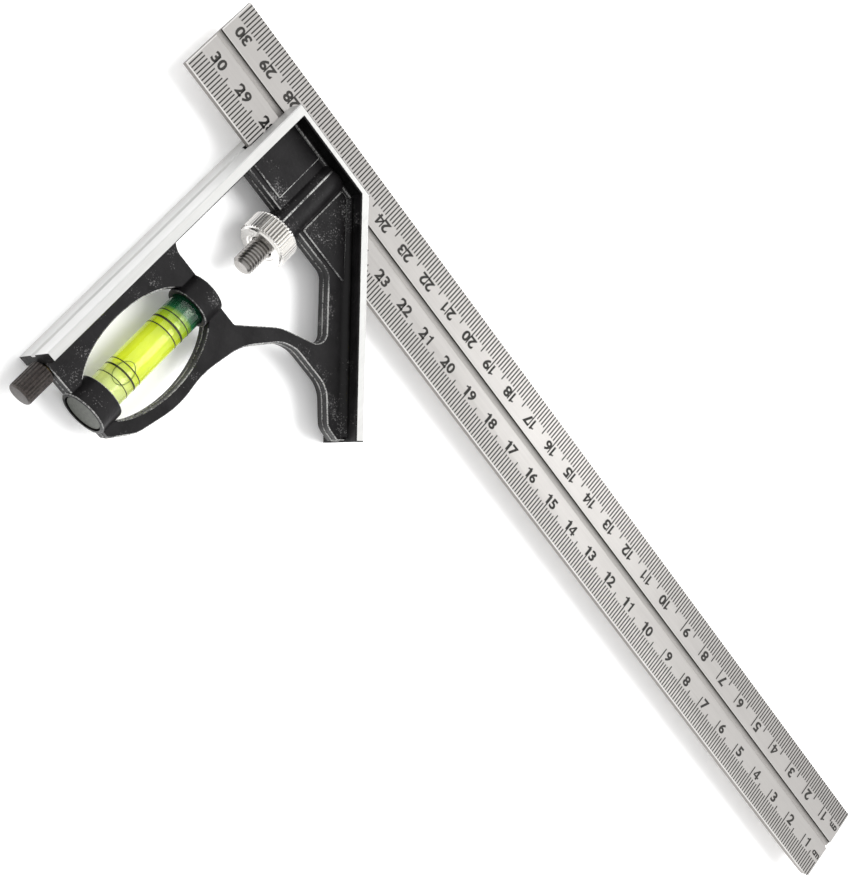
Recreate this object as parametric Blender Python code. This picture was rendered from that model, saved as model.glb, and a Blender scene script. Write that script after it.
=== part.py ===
"""Combination square: a cast head with a 90 degree and a 45 degree ground face, which slides along a
grooved steel rule and is clamped to it by a hooked bolt and a knurled nut. The head also holds a
spirit vial and a scriber. Metres, +Z up, lying on its side; +X runs along the rule towards its low
numbers, +Y towards the rule's outer edge. The origin is below the middle of the whole square."""

import math

import bmesh
import bpy
from mathutils import Matrix, Vector

MM = 0.001

# Lengths along the rule (u) are from the 90 degree face, and across it (v) from a line 1 mm inside
# its inner edge.

# Rule
BLADE_LENGTH = 304.8 * MM
BLADE_INNER = -1.0 * MM
BLADE_OUTER = 24.0 * MM
BLADE_THICKNESS = 2.0 * MM
GROOVE_NEAR = 10.5 * MM  # the groove's two walls
GROOVE_FAR = 12.7 * MM
GROOVE_DEPTH = 0.8 * MM

# Head
HEAD_THICKNESS = 16.0 * MM
WEB_THICKNESS = 5.0 * MM
PAD_THICKNESS = 5.8 * MM
BLADE_OVERHANG = 25.6 * MM  # how far the rule stands out past the 90 degree face
FACE_RIM = 2.8 * MM
EDGE_RIM = 1.75 * MM
MITRE_RIM = 2.4 * MM
HEAD_TOP = 14.2 * MM
HEAD_FOOT = -79.5 * MM
MITRE_START = 29.0 * MM  # where the outer edge turns into the 45 degree face
MITRE_LENGTH = 62.9 * MM
SLOT_GAP = 0.15 * MM
FACE_RELIEF_WIDTH = 2.6 * MM
FACE_RELIEF_DEPTH = 0.5 * MM

# Clamp
BOLT_U = 20.8 * MM
BOLT_RADIUS = 2.85 * MM
BOLT_TIP = -23.2 * MM
BOLT_LAP = 12.4 * MM  # how far the bolt's flat half reaches over the rule
BOLT_TRAVEL = 0.75 * MM  # from clamped to loose, towards the rule's outer edge
BOLT_CHAMFER = 0.8 * MM
NIB_NEAR = 10.75 * MM
NIB_FAR = 11.75 * MM
NIB_HALF_WIDTH = 1.5 * MM
NIB_REACH = 0.5 * MM  # how deep the nib sits in the groove
BOSS_RADIUS = 4.6 * MM
BOSS_END = -8.9 * MM
BOSS_BORE = 3.05 * MM
SPRING_BORE = 4.0 * MM
SPRING_SEAT = -2.6 * MM
SPRING_WIRE = 0.32 * MM
SPRING_RADIUS = 3.5 * MM
SPRING_TURNS = 4.5
NUT_RADIUS = 6.95 * MM
NUT_FLUTE = 0.32 * MM
NUT_TEETH = 44
NUT_BACK = -9.2 * MM
NUT_FRONT = -15.7 * MM
NUT_BORE = 3.05 * MM
NUT_CHAMFER = 0.5 * MM

# Spirit vial
VIAL_U = 18.4 * MM
VIAL_RADIUS = 4.7 * MM
VIAL_BORE = 3.75 * MM
VIAL_TOP = -37.0 * MM
VIAL_FOOT = -78.0 * MM
VIAL_WALL = 2.0 * MM
VIAL_SEAT = 4.9 * MM
PLUG_LENGTH = 2.6 * MM
LOWER_BOSS_RADIUS = 6.5 * MM
LOWER_BOSS = (-79.6 * MM, -72.9 * MM)
UPPER_BOSS_RADIUS = 6.0 * MM
UPPER_BOSS = (-41.7 * MM, -35.2 * MM)
VIAL_WINDOW_CENTRE = -58.2 * MM
VIAL_WINDOW_HALF = (11.4 * MM, 20.3 * MM)
CAP_RADIUS = 5.2 * MM
CAP_SEAT = 5.5 * MM
CAP_THICKNESS = 1.0 * MM

# Scriber
SCRIBER_U = 4.5 * MM
NEEDLE_RADIUS = 1.0 * MM
NEEDLE_BORE = 1.2 * MM
NEEDLE_TIP = -39.0 * MM
NEEDLE_POINT = 6.0 * MM
NEEDLE_TAIL = -85.0 * MM
NEEDLE_BORE_END = -38.0 * MM
SLEEVE_RADIUS = 1.8 * MM
SLEEVE_SEAT = 2.05 * MM
SLEEVE_LENGTH = 5.0 * MM
HANDLE_RADIUS = 3.25 * MM
HANDLE_FLUTE = 0.22 * MM
HANDLE_TEETH = 24
HANDLE_NEAR = -79.9 * MM
HANDLE_END = -88.5 * MM
HANDLE_CHAMFER = 0.6 * MM

GAP = 0.3 * MM
OVERRUN = 1.0 * MM  # how far a cutter runs past what it cuts
BURIED = 0.4 * MM  # how far a joined shape sits inside its neighbour

MID_Z = HEAD_THICKNESS / 2
HEAD_X = BLADE_OVERHANG - BLADE_LENGTH / 2
HEAD_Y = -(BLADE_OUTER + HANDLE_END) / 2
LEG = Vector((1, -1)) / math.sqrt(2)  # along the 45 degree face, away from the rule
OUT = Vector((1, 1)) / math.sqrt(2)  # square to that face, outwards


def clear_scene():
    for obj in list(bpy.data.objects):
        bpy.data.objects.remove(obj, do_unlink=True)


def material(name, colour, roughness, metallic, transmission=0.0):
    made = bpy.data.materials.new(name)
    made.use_nodes = True
    shader = made.node_tree.nodes["Principled BSDF"]
    shader.inputs["Base Color"].default_value = (*colour, 1.0)
    shader.inputs["Roughness"].default_value = roughness
    shader.inputs["Metallic"].default_value = metallic
    shader.inputs["Transmission Weight"].default_value = transmission
    return made


def rounded(corners, step=math.radians(12)):
    """An outline through (x, y, radius) corners, each turned into an arc of its radius."""
    points = []
    count = len(corners)
    for i, (x, y, radius) in enumerate(corners):
        corner = Vector((x, y))
        back = (Vector(corners[i - 1][:2]) - corner).normalized()
        ahead = (Vector(corners[(i + 1) % count][:2]) - corner).normalized()
        if radius == 0:
            points.append(corner)
            continue
        half = back.angle(ahead) / 2
        centre = corner + (back + ahead).normalized() * radius / math.sin(half)
        first = corner + back * radius / math.tan(half) - centre
        turn = first.angle_signed(corner + ahead * radius / math.tan(half) - centre)
        steps = max(2, math.ceil(abs(turn) / step))
        for k in range(steps + 1):
            points.append(centre + Matrix.Rotation(-turn * k / steps, 2) @ first)
    return points


def mesh_object(name, bm, finish=None, axis_u=0.0):
    """An object from a bmesh in the head's own coordinates, with its origin on the axis at axis_u."""
    bmesh.ops.recalc_face_normals(bm, faces=bm.faces)
    bmesh.ops.translate(bm, verts=bm.verts, vec=(-axis_u, 0, 0))
    mesh = bpy.data.meshes.new(name)
    bm.to_mesh(mesh)
    bm.free()
    obj = bpy.data.objects.new(name, mesh)
    obj.location = (HEAD_X + axis_u, HEAD_Y, MID_Z)
    bpy.context.collection.objects.link(obj)
    if finish:
        mesh.materials.append(finish)
    return obj


def prism(outline, low, high):
    """The outline, raised from low to high along Z."""
    bm = bmesh.new()
    face = bm.faces.new([bm.verts.new((x, y, low)) for x, y in outline])
    raised = bmesh.ops.extrude_face_region(bm, geom=[face])["geom"]
    moved = [item for item in raised if isinstance(item, bmesh.types.BMVert)]
    bmesh.ops.translate(bm, verts=moved, vec=(0, 0, high - low))
    return bm


def turned(profile, segments, u=0.0):
    """A closed (radius, y) profile spun about an axis along Y at u; points at radius 0 close it."""
    bm = bmesh.new()
    verts = [bm.verts.new((radius, y, 0)) for radius, y in profile]
    edges = [bm.edges.new(pair) for pair in zip(verts, verts[1:])]
    if profile[0][0] > 0:
        edges.append(bm.edges.new((verts[-1], verts[0])))
    bmesh.ops.spin(
        bm, geom=verts + edges, axis=(0, 1, 0), cent=(0, 0, 0), angle=math.tau,
        steps=segments, use_merge=True,
    )
    bmesh.ops.remove_doubles(bm, verts=bm.verts, dist=1e-6)
    bmesh.ops.translate(bm, verts=bm.verts, vec=(u, 0, 0))
    return bm


def rod(radius, low, high, segments, u=0.0, chamfer=0.0):
    profile = [(0, low), (radius - chamfer, low)]
    if chamfer:
        profile.append((radius, low + chamfer))
    profile += [(radius, high), (0, high)]
    return turned(profile, segments, u)


def stepped(wide, narrow, segments, u):
    """A wide rod (radius, low, high) that goes on as a narrow one (radius, high)."""
    profile = [
        (0, wide[1]), (wide[0], wide[1]), (wide[0], wide[2]),
        (narrow[0], wide[2]), (narrow[0], narrow[1]), (0, narrow[1]),
    ]
    return turned(profile, segments, u)


def fluted(bm, teeth, radius, depth, u):
    """Pushes every second pair of outer points in, so that a turned rim becomes a straight knurl."""
    for vert in bm.verts:
        across = Vector((vert.co.x - u, vert.co.z))
        if across.length < radius - depth:
            continue
        place = across.angle_signed(Vector((1, 0)), 0) / math.tau * teeth
        if (place - math.floor(place + 1e-6)) > 0.4:
            across *= (across.length - depth) / across.length
            vert.co.x = u + across.x
            vert.co.z = across.y


def box(low, high):
    (x0, y0, z0), (x1, y1, z1) = low, high
    return prism([(x0, y0), (x1, y0), (x1, y1), (x0, y1)], z0, z1)


def change(target, operation, bm, name):
    """Joins a shape to the target or cuts it away, with a hidden helper object."""
    helper = mesh_object(name, bm)
    helper.hide_render = True
    helper.display_type = "WIRE"
    step = target.modifiers.new(name, "BOOLEAN")
    step.operation = operation
    step.object = helper
    step.solver = "EXACT"


def flange_outline():
    """The raised rim along the 90 degree face, the outer edge and the 45 degree face."""
    start = Vector((MITRE_START, HEAD_TOP))
    end = start + LEG * MITRE_LENGTH
    inner_end = end - OUT * MITRE_RIM
    inner_top = HEAD_TOP - EDGE_RIM
    inner_start = Vector((inner_end.x + inner_end.y - inner_top, inner_top))
    return [
        (0, HEAD_FOOT), (0, HEAD_TOP), start, end, inner_end, inner_start,
        (FACE_RIM, inner_top), (FACE_RIM, HEAD_FOOT),
    ]


def web_outline():
    """The plate between the rims, with the leg's end, the bridge and the arm round the vial."""
    edge = FACE_RIM / 2
    top = HEAD_TOP - EDGE_RIM / 2
    start = Vector((MITRE_START, HEAD_TOP)) - OUT * MITRE_RIM / 2
    end = start + LEG * (MITRE_LENGTH - BURIED)
    leg_end = end - OUT * 3.4 * MM
    return rounded([
        (edge, HEAD_FOOT + BURIED, 0),
        (edge, top, 0),
        (start.x + start.y - top, top, 0),
        (end.x, end.y, 0),
        (leg_end.x, leg_end.y, 0),
        (65.6 * MM, -33.0 * MM, 4 * MM),
        (58.0 * MM, -26.2 * MM, 8 * MM),
        (42.6 * MM, -26.2 * MM, 9 * MM),
        (34.3 * MM, -37.5 * MM, 16 * MM),
        (32.2 * MM, -49.5 * MM, 24 * MM),
        (33.5 * MM, -60.5 * MM, 24 * MM),
        (30.7 * MM, -73.2 * MM, 10 * MM),
        (26.4 * MM, HEAD_FOOT + BURIED, 1.0 * MM),
    ])


def main_window():
    """The large opening beside the clamp nut."""
    return rounded([
        (FACE_RIM, -5.8 * MM, 3 * MM),
        (37.5 * MM, -5.8 * MM, 4 * MM),
        (51.1 * MM, -19.6 * MM, 3 * MM),
        (38.2 * MM, -26.0 * MM, 14 * MM),
        (29.2 * MM, -35.4 * MM, 0.8 * MM),
        (FACE_RIM, -35.4 * MM, 1.8 * MM),
    ])


def vial_window():
    half_u, half_v = VIAL_WINDOW_HALF
    turn = [math.tau * k / 64 for k in range(64)]
    return [(VIAL_U + half_u * math.cos(a), VIAL_WINDOW_CENTRE + half_v * math.sin(a)) for a in turn]


def face_pad():
    low, high = -4.0 * MM, 11.8 * MM
    return rounded([(u, v, 0.6 * MM) for u, v in (
        (3.4 * MM, low), (14.7 * MM, low), (14.7 * MM, high), (3.4 * MM, high))])


def mitre_pad():
    low, high = -4.3 * MM, 11.3 * MM
    inner, diagonal = 24.9 * MM, 38.2 * MM
    return rounded([(u, v, 0.4 * MM) for u, v in (
        (inner, low), (diagonal - low, low), (diagonal - high, high), (inner, high))])


def head_casting(finish):
    """Die-cast head: plate, rims, pads and bosses, then the slot, bores and reliefs."""
    half_web = WEB_THICKNESS / 2
    half_pad = PAD_THICKNESS / 2
    half_head = HEAD_THICKNESS / 2
    head = mesh_object("head_casting", prism(web_outline(), -half_web, half_web), finish)
    reach = half_head + OVERRUN
    change(head, "DIFFERENCE", prism(main_window(), -reach, reach), "cut_main_window")
    change(head, "DIFFERENCE", prism(vial_window(), -reach, reach), "cut_vial_window")
    change(head, "UNION", prism(flange_outline(), -half_head, half_head), "add_rims")
    needle_bore = stepped(
        (SLEEVE_SEAT, HEAD_FOOT - OVERRUN, HEAD_FOOT + SLEEVE_LENGTH + 2 * GAP),
        (NEEDLE_BORE, NEEDLE_BORE_END), 24, SCRIBER_U)
    change(head, "DIFFERENCE", needle_bore, "cut_needle_bore")
    half_relief = FACE_RELIEF_WIDTH / 2
    relief = box((-OVERRUN, HEAD_FOOT - OVERRUN, -half_relief), (FACE_RELIEF_DEPTH, OVERRUN, half_relief))
    change(head, "DIFFERENCE", relief, "cut_face_relief")
    start = Vector((MITRE_START, HEAD_TOP)) + LEG * 18 * MM
    end = start + LEG * (MITRE_LENGTH - 17 * MM)
    deep, clear = -OUT * FACE_RELIEF_DEPTH, OUT * OVERRUN
    mitre = prism([start + deep, end + deep, end + clear, start + clear], -half_relief, half_relief)
    change(head, "DIFFERENCE", mitre, "cut_mitre_relief")
    change(head, "UNION", prism(face_pad(), -half_pad, half_pad), "add_face_pad")
    change(head, "UNION", prism(mitre_pad(), -half_pad, half_pad), "add_mitre_pad")
    boss = rod(BOSS_RADIUS, BOSS_END, HEAD_TOP - EDGE_RIM + BURIED, 48, BOLT_U)
    change(head, "UNION", boss, "add_bolt_boss")
    change(head, "UNION", rod(LOWER_BOSS_RADIUS, *LOWER_BOSS, 48, VIAL_U), "add_lower_boss")
    change(head, "UNION", rod(UPPER_BOSS_RADIUS, *UPPER_BOSS, 48, VIAL_U), "add_upper_boss")

    half_slot = BLADE_THICKNESS / 2 + SLOT_GAP
    slot = box((-OVERRUN, BLADE_INNER - SLOT_GAP, -half_slot), (80 * MM, HEAD_TOP + OVERRUN, half_slot))
    change(head, "DIFFERENCE", slot, "cut_blade_slot")
    bolt_bore = stepped(
        (SPRING_BORE, BOSS_END - OVERRUN, SPRING_SEAT), (BOSS_BORE, BOLT_LAP + BOLT_TRAVEL + GAP), 40, BOLT_U)
    change(head, "DIFFERENCE", bolt_bore, "cut_bolt_bore")
    vial_seat = stepped(
        (CAP_SEAT, LOWER_BOSS[0] - OVERRUN, VIAL_FOOT + GAP), (VIAL_SEAT, VIAL_TOP + GAP), 40, VIAL_U)
    change(head, "DIFFERENCE", vial_seat, "cut_vial_seat")
    return head


def blade(finish):
    """Rule with the clamping groove along its upper side."""
    top, low = BLADE_THICKNESS / 2, -BLADE_THICKNESS / 2
    floor = top - GROOVE_DEPTH
    section = [
        (BLADE_INNER, low), (BLADE_INNER, top), (GROOVE_NEAR, top), (GROOVE_NEAR, floor),
        (GROOVE_FAR, floor), (GROOVE_FAR, top), (BLADE_OUTER, top), (BLADE_OUTER, low),
    ]
    bm = bmesh.new()
    face = bm.faces.new([bm.verts.new((-BLADE_OVERHANG, y, z)) for y, z in section])
    raised = bmesh.ops.extrude_face_region(bm, geom=[face])["geom"]
    moved = [item for item in raised if isinstance(item, bmesh.types.BMVert)]
    bmesh.ops.translate(bm, verts=moved, vec=(BLADE_LENGTH, 0, 0))
    return mesh_object("blade", bm, finish)


def clamp_bolt(finish):
    """Round threaded end, and a flat half over the rule that ends in a nib in the rule's groove."""
    lap = BLADE_THICKNESS / 2 + GAP
    shank = rod(BOLT_RADIUS, BOLT_TIP, BOLT_LAP, 48, BOLT_U, BOLT_CHAMFER)
    bolt = mesh_object("clamp_bolt", shank, finish, BOLT_U)
    below = box(
        (BOLT_U - 2 * BOLT_RADIUS, BLADE_INNER - BOLT_TRAVEL - GAP, -2 * BOLT_RADIUS),
        (BOLT_U + 2 * BOLT_RADIUS, BOLT_LAP + OVERRUN, lap),
    )
    change(bolt, "DIFFERENCE", below, "cut_bolt_flat")
    nib = box(
        (BOLT_U - NIB_HALF_WIDTH, NIB_NEAR, BLADE_THICKNESS / 2 - NIB_REACH),
        (BOLT_U + NIB_HALF_WIDTH, NIB_FAR, lap + BURIED),
    )
    change(bolt, "UNION", nib, "add_nib")
    return bolt


def clamp_nut(finish):
    """Round nut with a straight knurl, chamfered at both ends."""
    rim = NUT_RADIUS
    profile = [
        (NUT_BORE, NUT_BACK), (rim - NUT_CHAMFER, NUT_BACK), (rim, NUT_BACK - NUT_CHAMFER),
        (rim, NUT_FRONT + NUT_CHAMFER), (rim - NUT_CHAMFER, NUT_FRONT), (NUT_BORE, NUT_FRONT),
    ]
    bm = turned(profile, 4 * NUT_TEETH, BOLT_U)
    fluted(bm, NUT_TEETH, rim, NUT_FLUTE, BOLT_U)
    return mesh_object("clamp_nut", bm, finish, BOLT_U)


def clamp_spring(finish):
    """Compression spring in the boss, between its shoulder and the nut."""
    curve = bpy.data.curves.new("clamp_spring", "CURVE")
    curve.dimensions = "3D"
    curve.bevel_depth = SPRING_WIRE
    curve.bevel_resolution = 2
    curve.use_fill_caps = True
    steps = round(SPRING_TURNS * 16)
    low = BOSS_END + SPRING_WIRE + GAP
    high = SPRING_SEAT - SPRING_WIRE - GAP
    line = curve.splines.new("POLY")
    line.points.add(steps)
    for k, point in enumerate(line.points):
        turn = math.tau * SPRING_TURNS * k / steps
        along = low + (high - low) * k / steps
        point.co = (SPRING_RADIUS * math.cos(turn), along, SPRING_RADIUS * math.sin(turn), 1)
    curve.materials.append(finish)
    spring = bpy.data.objects.new("clamp_spring", curve)
    spring.location = (HEAD_X + BOLT_U, HEAD_Y, MID_Z)
    bpy.context.collection.objects.link(spring)
    return spring


def vial(tube_finish, liquid_finish, plug_finish, cap_finish):
    """Clear tube closed at its upper end, the spirit in it, its plug, and the disc in the boss."""
    tube = [
        (0, VIAL_TOP), (VIAL_RADIUS, VIAL_TOP), (VIAL_RADIUS, VIAL_FOOT),
        (VIAL_BORE, VIAL_FOOT), (VIAL_BORE, VIAL_TOP - VIAL_WALL), (0, VIAL_TOP - VIAL_WALL),
    ]
    mesh_object("vial_tube", turned(tube, 48, VIAL_U), tube_finish, VIAL_U)
    inner = VIAL_BORE - 0.2 * MM
    plug_top = VIAL_FOOT + PLUG_LENGTH
    liquid = rod(inner, plug_top + GAP, VIAL_TOP - VIAL_WALL - GAP, 40, VIAL_U)
    mesh_object("vial_liquid", liquid, liquid_finish, VIAL_U)
    plug = rod(inner, VIAL_FOOT, plug_top, 40, VIAL_U, 0.2 * MM)
    mesh_object("vial_plug", plug, plug_finish, VIAL_U)
    cap_back = VIAL_FOOT - GAP
    cap = rod(CAP_RADIUS, cap_back - CAP_THICKNESS, cap_back, 48, VIAL_U, 0.2 * MM)
    mesh_object("vial_cap", cap, cap_finish, VIAL_U)


def scriber(needle_finish, handle_finish, sleeve_finish):
    """Hardened needle in a knurled handle, held in the head by the friction of a sleeve."""
    needle = [
        (0, NEEDLE_TAIL), (NEEDLE_RADIUS, NEEDLE_TAIL),
        (NEEDLE_RADIUS, NEEDLE_TIP - NEEDLE_POINT), (0, NEEDLE_TIP),
    ]
    mesh_object("scriber_needle", turned(needle, 24, SCRIBER_U), needle_finish, SCRIBER_U)
    hole = NEEDLE_RADIUS + 0.15 * MM
    rim = HANDLE_RADIUS
    handle = [
        (0, HANDLE_END), (rim - HANDLE_CHAMFER, HANDLE_END), (rim, HANDLE_END + HANDLE_CHAMFER),
        (rim, HANDLE_NEAR), (hole, HANDLE_NEAR), (hole, NEEDLE_TAIL - GAP), (0, NEEDLE_TAIL - GAP),
    ]
    bm = turned(handle, 4 * HANDLE_TEETH, SCRIBER_U)
    fluted(bm, HANDLE_TEETH, rim, HANDLE_FLUTE, SCRIBER_U)
    mesh_object("scriber_handle", bm, handle_finish, SCRIBER_U)
    slip = NEEDLE_RADIUS + 0.12 * MM
    sleeve = [
        (slip, HEAD_FOOT), (SLEEVE_RADIUS, HEAD_FOOT),
        (SLEEVE_RADIUS, HEAD_FOOT + SLEEVE_LENGTH), (slip, HEAD_FOOT + SLEEVE_LENGTH),
    ]
    mesh_object("scriber_sleeve", turned(sleeve, 24, SCRIBER_U), sleeve_finish, SCRIBER_U)


def shade_round_pieces():
    for obj in bpy.data.objects:
        if obj.type == "MESH" and not obj.hide_render and obj.name not in ("blade", "head_casting"):
            obj.data.shade_smooth()
            obj.data.set_sharp_from_angle(angle=math.radians(30))


def main():
    clear_scene()
    paint = material("black_enamel", (0.022, 0.021, 0.023), 0.42, 0.0)
    stainless = material("stainless_rule", (0.58, 0.56, 0.54), 0.34, 1.0)
    zinc_plate = material("zinc_plated_steel", (0.42, 0.41, 0.39), 0.35, 1.0)
    nickel = material("nickel_plate", (0.78, 0.77, 0.75), 0.2, 1.0)
    spring_steel = material("spring_steel", (0.45, 0.45, 0.45), 0.3, 1.0)
    acrylic = material("clear_acrylic", (0.95, 1.0, 0.85), 0.04, 0.0, 1.0)
    spirit = material("yellow_green_spirit", (0.7, 0.95, 0.02), 0.02, 0.0, 0.8)
    clear_plug = material("moulded_plug", (0.85, 0.92, 0.6), 0.2, 0.0, 0.5)
    black_plastic = material("black_plastic", (0.03, 0.03, 0.028), 0.5, 0.0)
    tool_steel = material("tool_steel", (0.5, 0.5, 0.5), 0.25, 1.0)
    blackened = material("blackened_steel", (0.07, 0.06, 0.055), 0.5, 0.6)
    brass = material("brass", (0.7, 0.5, 0.2), 0.3, 1.0)
    head_casting(paint)
    blade(stainless)
    clamp_bolt(zinc_plate)
    clamp_nut(nickel)
    clamp_spring(spring_steel)
    vial(acrylic, spirit, clear_plug, black_plastic)
    scriber(tool_steel, blackened, brass)
    shade_round_pieces()


main()
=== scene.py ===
"""Looks of the combination square: the rule, the cast head, the clamp, the spirit vial and the scriber.

Shapes are drawn in millimetres in the head's own frame. u runs along the rule from the 90 degree face,
v across it from a line 1 mm inside its inner edge, and w up from the rule's middle plane.
"""

import math

import bmesh
import bpy
from mathutils import Matrix, Vector


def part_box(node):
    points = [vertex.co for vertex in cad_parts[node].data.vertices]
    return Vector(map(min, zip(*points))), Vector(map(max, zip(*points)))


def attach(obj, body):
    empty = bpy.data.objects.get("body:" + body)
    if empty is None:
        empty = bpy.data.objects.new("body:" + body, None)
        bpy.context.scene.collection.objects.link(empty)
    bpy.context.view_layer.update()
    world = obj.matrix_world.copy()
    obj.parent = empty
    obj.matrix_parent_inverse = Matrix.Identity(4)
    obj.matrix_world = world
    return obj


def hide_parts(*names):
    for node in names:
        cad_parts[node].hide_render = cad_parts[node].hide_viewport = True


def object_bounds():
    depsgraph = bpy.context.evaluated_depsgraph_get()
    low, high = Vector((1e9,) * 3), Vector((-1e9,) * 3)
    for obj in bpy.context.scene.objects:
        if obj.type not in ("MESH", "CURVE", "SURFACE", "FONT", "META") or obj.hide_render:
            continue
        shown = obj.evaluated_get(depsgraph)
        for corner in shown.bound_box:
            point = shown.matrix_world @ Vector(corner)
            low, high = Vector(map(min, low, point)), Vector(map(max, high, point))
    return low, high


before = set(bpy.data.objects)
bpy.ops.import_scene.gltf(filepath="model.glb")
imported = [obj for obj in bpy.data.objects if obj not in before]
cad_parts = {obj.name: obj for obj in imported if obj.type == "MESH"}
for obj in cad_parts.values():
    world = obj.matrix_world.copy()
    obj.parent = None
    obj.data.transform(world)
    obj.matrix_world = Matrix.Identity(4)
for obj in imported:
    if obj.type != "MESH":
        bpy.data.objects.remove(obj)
cad_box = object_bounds()

MM = 0.001
BLADE_OUTER_V = 24.0
head_low, head_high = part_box("head_casting")
rule_low, rule_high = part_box("blade")
ORIGIN = Vector((head_low.x, rule_high.y - BLADE_OUTER_V * MM, (rule_low.z + rule_high.z) / 2))
TO_WORLD = Matrix.Translation(ORIGIN) @ Matrix.Scale(MM, 4)


def local_box(node):
    """A CAD node's lowest and highest corners, in millimetres in the head's frame."""
    return [(corner - ORIGIN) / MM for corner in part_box(node)]


RULE = local_box("blade")
HEAD = local_box("head_casting")
NUT = local_box("clamp_nut")
BOLT = local_box("clamp_bolt")
VIAL = local_box("vial_tube")
LIQUID = local_box("vial_liquid")
CAP = local_box("vial_cap")
HANDLE = local_box("scriber_handle")
BOLT_U = (BOLT[0].x + BOLT[1].x) / 2
VIAL_U = (VIAL[0].x + VIAL[1].x) / 2
HANDLE_U = (HANDLE[0].x + HANDLE[1].x) / 2

HEAD_TOP = HEAD[1].y
HEAD_HALF = HEAD[1].z
HEAD_FOOT = -79.5
FACE_RIM = 2.8
EDGE_RIM = 1.75
MITRE_RIM = 2.4
MITRE_START = 29.0
MITRE_LENGTH = 62.9
WEB_HALF = 2.5
WEB_CHAMFER = 0.26
PAD_RISE = 0.55
FLASH_HALF = 0.22
LOWER_BOSS = (-79.6, -72.9)
UPPER_BOSS = (-41.7, -35.2)
BOLT_BORE = 3.05
LEG = Vector((1, -1, 0)).normalized()
OUT = Vector((1, 1, 0)).normalized()
X_AXIS = Vector((1, 0, 0))
Y_AXIS = Vector((0, 1, 0))
Z_AXIS = Vector((0, 0, 1))


# Materials


def colour(code):
    """sRGB hex to linear."""
    parts = [int(code[i : i + 2], 16) / 255 for i in (1, 3, 5)]
    return (*[p / 12.92 if p <= 0.04045 else ((p + 0.055) / 1.055) ** 2.4 for p in parts], 1.0)


def add(tree, kind, settings=(), **inputs):
    """A node with its settings. Inputs go by name, or as n0, n1 by place. Each is a value or (node, output)."""
    made = tree.nodes.new(kind)
    for name, value in dict(settings).items():
        setattr(made, name, value)
    for name, value in inputs.items():
        numbered = name[0] == "n" and name[1:].isdigit()
        socket = made.inputs[int(name[1:]) if numbered else name.replace("_", " ")]
        if isinstance(value, tuple) and isinstance(value[0], bpy.types.Node):
            tree.links.new(value[0].outputs[value[1]], socket)
        else:
            socket.default_value = value
    return made


def new_material(name, **shader_inputs):
    made = bpy.data.materials.new(name)
    made.use_nodes = True
    tree = made.node_tree
    shader = tree.nodes["Principled BSDF"]
    for key, value in shader_inputs.items():
        shader.inputs[key.replace("_", " ")].default_value = value
    return made, tree, shader


def ramp(tree, source, stops):
    made = add(tree, "ShaderNodeValToRGB", n0=source)
    elements = made.color_ramp.elements
    while len(elements) < len(stops):
        elements.new(1.0)
    for element, (place, value) in zip(elements, stops):
        element.position = place
        element.color = value
    return made


def grey(value):
    return (value, value, value, 1.0)


def stretched(tree, scale):
    """Object coordinates with each axis at its own scale."""
    where = add(tree, "ShaderNodeTexCoord")
    return add(tree, "ShaderNodeMapping", n0=(where, "Object"), Scale=scale), where


def link(tree, source, output, shader, socket):
    tree.links.new(source.outputs[output], shader.inputs[socket])


def enamel(name, fleck, least, most, low, high, gloss=0.22):
    """Sprayed enamel on a die casting: fine orange peel, and bare specks where dust or wear broke the coat. With
    other tones it also makes painted shade and painted highlights.
    """
    made, tree, shader = new_material(name, Specular_IOR_Level=gloss)
    where = add(tree, "ShaderNodeTexCoord")
    cloud = add(tree, "ShaderNodeTexNoise", n0=(where, "Object"), Scale=220.0, Detail=5.0)
    base = ramp(tree, (cloud, "Fac"), [(0.35, colour(low)), (0.7, colour(high))])
    grit = add(tree, "ShaderNodeTexNoise", n0=(where, "Object"), Scale=2600.0, Detail=2.0, Roughness=0.5)
    patches = add(tree, "ShaderNodeTexNoise", n0=(where, "Object"), Scale=130.0, Detail=2.0)
    both = add(tree, "ShaderNodeMath", {"operation": "MULTIPLY"}, n0=(grit, "Fac"), n1=(patches, "Fac"))
    flecks = ramp(tree, (both, "Value"), [(least, grey(0)), (most, grey(1))])
    mixed = add(tree, "ShaderNodeMix", {"data_type": "RGBA"}, n0=(flecks, "Color"), n6=(base, "Color"),
                n7=colour(fleck))
    link(tree, mixed, 2, shader, "Base Color")
    rough = ramp(tree, (cloud, "Fac"), [(0.3, grey(0.3)), (0.7, grey(0.46))])
    link(tree, rough, "Color", shader, "Roughness")
    peel = add(tree, "ShaderNodeTexNoise", n0=(where, "Object"), Scale=1100.0, Detail=3.0)
    bump = add(tree, "ShaderNodeBump", Strength=0.5, Distance=0.00014, Height=(peel, "Fac"))
    link(tree, bump, "Normal", shader, "Normal")
    return made


def brushed_metal(name, low, high, lines, roughness, grain=0.15, metallic=1.0):
    """Metal worked in one direction: fine lines in its tone, gloss and relief."""
    made, tree, shader = new_material(name, Metallic=metallic)
    mapped, where = stretched(tree, lines)
    stripes = add(tree, "ShaderNodeTexNoise", n0=(mapped, "Vector"), Scale=1.0, Detail=4.0, Roughness=0.65)
    cloud = add(tree, "ShaderNodeTexNoise", n0=(where, "Object"), Scale=60.0, Detail=3.0)
    tone = add(tree, "ShaderNodeMix", {"data_type": "FLOAT"}, n0=0.35, n2=(stripes, "Fac"), n3=(cloud, "Fac"))
    base = ramp(tree, (tone, 0), [(0.3, colour(low)), (0.7, colour(high))])
    link(tree, base, "Color", shader, "Base Color")
    rough = ramp(tree, (stripes, "Fac"), [(0.3, grey(roughness * 0.85)), (0.7, grey(roughness * 1.15))])
    link(tree, rough, "Color", shader, "Roughness")
    bump = add(tree, "ShaderNodeBump", Strength=grain, Distance=0.00003, Height=(stripes, "Fac"))
    link(tree, bump, "Normal", shader, "Normal")
    return made


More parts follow.
